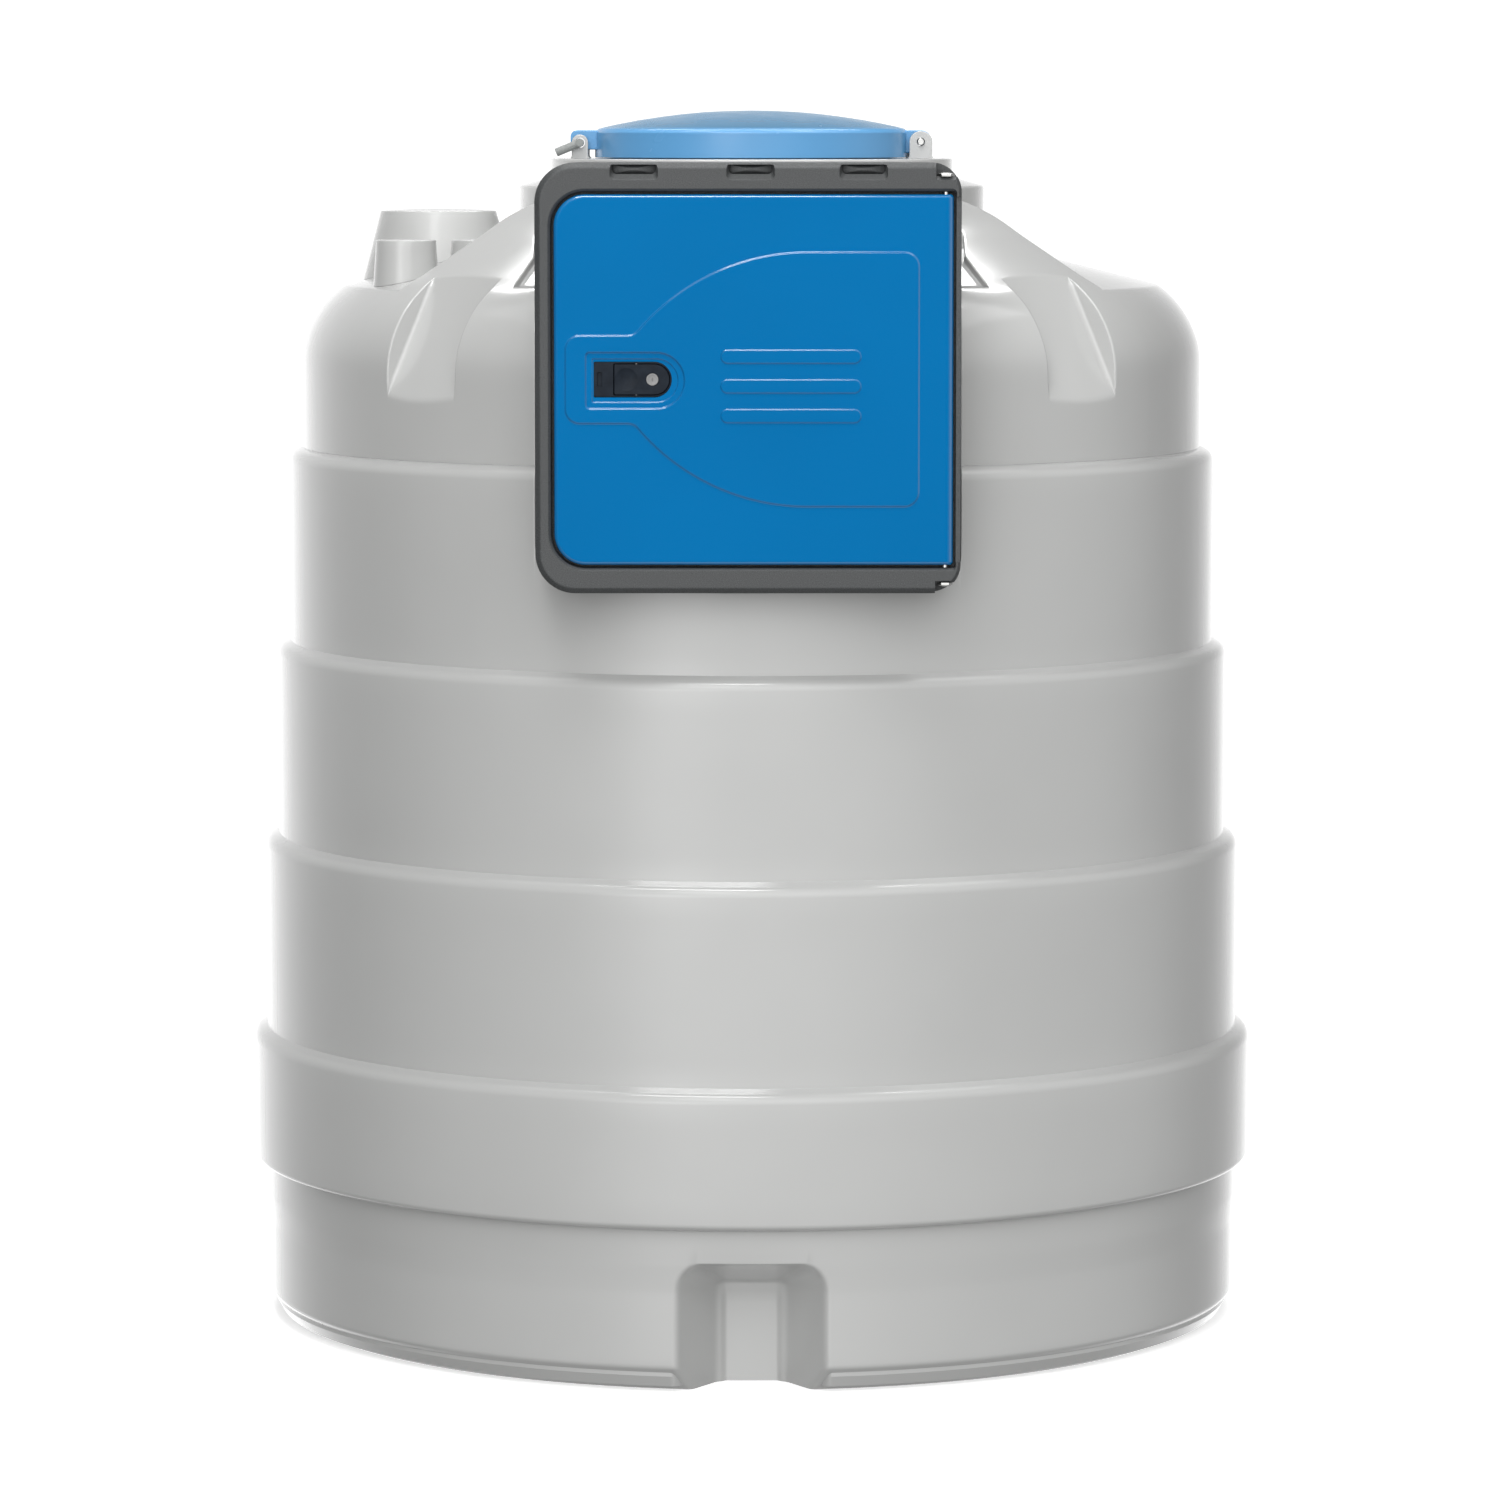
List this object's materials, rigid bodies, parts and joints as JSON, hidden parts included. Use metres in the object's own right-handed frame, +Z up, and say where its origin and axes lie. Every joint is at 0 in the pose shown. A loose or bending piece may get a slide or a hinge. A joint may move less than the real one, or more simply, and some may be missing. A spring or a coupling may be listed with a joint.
{
  "type": "vertical storage tank",
  "caption": "Round moulded plastic storage tank with stepped rings, a domed roof, a hinged manway lid, screw caps and a lockable equipment cabinet at the upper front.",
  "frame": {"origin": "on the ground, on the tank's own vertical axis, at the centre of the flat base", "axes": "+Z up along the tank's axis; the cabinet faces -Y; +X to the right of a viewer who faces the cabinet"},
  "size_m": [1.9, 1.9075, 2.282],
  "materials": {
    "tank_plastic": "satin light grey moulded polyethylene",
    "blue_plastic": "glossy blue",
    "dark_plastic": "fine textured dark grey",
    "latch_plastic": "satin black",
    "zinc_steel": "plated"
  },
  "bodies": {
    "tank": {"tank_wall_front_left": "tank_plastic", "tank_wall_left_front": "tank_plastic", "tank_wall_left_rear": "tank_plastic", "tank_wall_rear_left": "tank_plastic", "tank_wall_rear_right": "tank_plastic", "tank_wall_right_rear": "tank_plastic", "tank_wall_right_front": "tank_plastic", "tank_wall_front_right": "tank_plastic", "tank_roof_front_left": "tank_plastic", "tank_roof_rear_left": "tank_plastic", "tank_roof_rear_right": "tank_plastic", "tank_roof_front_right": "tank_plastic", "tank_floor": "tank_plastic", "cabinet_recess": "tank_plastic", "manway_neck": "tank_plastic", "hinge_lug_front": "tank_plastic", "hinge_lug_rear": "tank_plastic", "lock_lug_front": "tank_plastic", "lock_lug_rear": "tank_plastic", "fill_cap": "tank_plastic", "vent_cap_outer": "tank_plastic", "vent_cap_inner": "tank_plastic", "cabinet_frame": "dark_plastic", "cabinet_housing": "dark_plastic", "cabinet_back": "dark_plastic", "lid_lock_pin": "dark_plastic", "lid_hinge_pin": "zinc_steel", "hinge_bolt_top": "zinc_steel", "hinge_bolt_low": "zinc_steel", "hinge_pin_top": "zinc_steel", "hinge_pin_low": "zinc_steel", "latch_keeper": "zinc_steel"},
    "lid": {"lid": "blue_plastic"},
    "door": {"door_panel": "blue_plastic", "latch_housing": "latch_plastic", "latch_case": "latch_plastic", "latch_bolt": "zinc_steel", "latch_pivot": "zinc_steel"},
    "paddle": {"latch_paddle": "latch_plastic", "lock_cylinder": "zinc_steel"}
  },
  "joints": [
    {"name": "lid_hinge", "type": "hinge", "parent": "tank", "child": "lid", "pos_m": [0.319, 0, 2.2235], "axis": [0, 1, 0], "range_deg": [0, 110]},
    {"name": "door_hinge", "type": "hinge", "parent": "tank", "child": "door", "pos_m": [0.34, -0.938, 1.8117], "axis": [0, 0, 1], "range_deg": [0, 100]},
    {"name": "paddle_pivot", "type": "hinge", "parent": "door", "child": "paddle", "pos_m": [-0.202, -0.9395, 1.8117], "axis": [0, 0, -1], "range_deg": [0, 20]}
  ]
}
